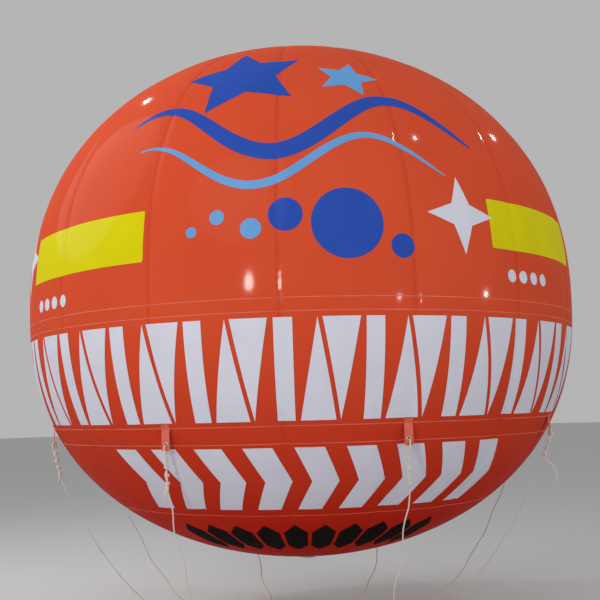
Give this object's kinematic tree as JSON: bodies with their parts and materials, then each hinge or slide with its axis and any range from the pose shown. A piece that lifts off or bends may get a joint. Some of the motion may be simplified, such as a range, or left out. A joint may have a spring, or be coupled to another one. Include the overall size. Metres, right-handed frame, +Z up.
{
  "type": "advertising balloon",
  "caption": "Tethered advertising balloon: gored PVC envelope with crown and base discs, capped filling valve, eyelet tabs and knotted rope lines meeting at a ring below.",
  "frame": {"origin": "centre of the envelope's widest ring, on its vertical axis, which is also the air mount", "axes": "+Z up through the crown, -Y towards the printed front, +X to the right of that front"},
  "size_m": [3.6532, 3.6532, 3.9673],
  "materials": {
    "envelope_pvc": "glossy orange-red PVC sheet with welded seams",
    "tab_pvc": "lighter salmon-red PVC strap",
    "eyelet_brass": "dulled rolled brass",
    "rope": "off-white twisted synthetic rope",
    "valve_plastic": "pale grey moulded plastic",
    "ring_steel": "zinc-plated steel"
  },
  "bodies": {
    "balloon": {"base_disc": "envelope_pvc", "crown_disc": "envelope_pvc", "eyelet_back_left": "eyelet_brass", "eyelet_back_right": "eyelet_brass", "eyelet_front_left": "eyelet_brass", "eyelet_front_right": "eyelet_brass", "eyelet_left_back": "eyelet_brass", "eyelet_left_front": "eyelet_brass", "eyelet_right_back": "eyelet_brass", "eyelet_right_front": "eyelet_brass", "gathering_ring": "ring_steel", "gore_01": "envelope_pvc", "gore_02": "envelope_pvc", "gore_03": "envelope_pvc", "gore_04": "envelope_pvc", "gore_05": "envelope_pvc", "gore_06": "envelope_pvc", "gore_07": "envelope_pvc", "gore_08": "envelope_pvc", "gore_09": "envelope_pvc", "gore_10": "envelope_pvc", "gore_11": "envelope_pvc", "gore_12": "envelope_pvc", "gore_13": "envelope_pvc", "gore_14": "envelope_pvc", "gore_15": "envelope_pvc", "gore_16": "envelope_pvc", "lashing_back_left": "rope", "lashing_back_right": "rope", "lashing_front_left": "rope", "lashing_front_right": "rope", "lashing_left_back": "rope", "lashing_left_front": "rope", "lashing_right_back": "rope", "lashing_right_front": "rope", "line_back_left": "rope", "line_back_right": "rope", "line_front_left": "rope", "line_front_right": "rope", "line_left_back": "rope", "line_left_front": "rope", "line_right_back": "rope", "line_right_front": "rope", "tab_back_left": "tab_pvc", "tab_back_right": "tab_pvc", "tab_front_left": "tab_pvc", "tab_front_right": "tab_pvc", "tab_left_back": "tab_pvc", "tab_left_front": "tab_pvc", "tab_right_back": "tab_pvc", "tab_right_front": "tab_pvc", "valve_neck": "valve_plastic", "valve_pin": "ring_steel"},
    "cap": {"valve_cap": "valve_plastic"}
  },
  "joints": [
    {"name": "valve_cap_hinge", "type": "hinge", "parent": "balloon", "child": "cap", "pos_m": [0.046, 0, -1.69537], "axis": [0, -1, 0], "range_deg": [0, 140]}
  ]
}
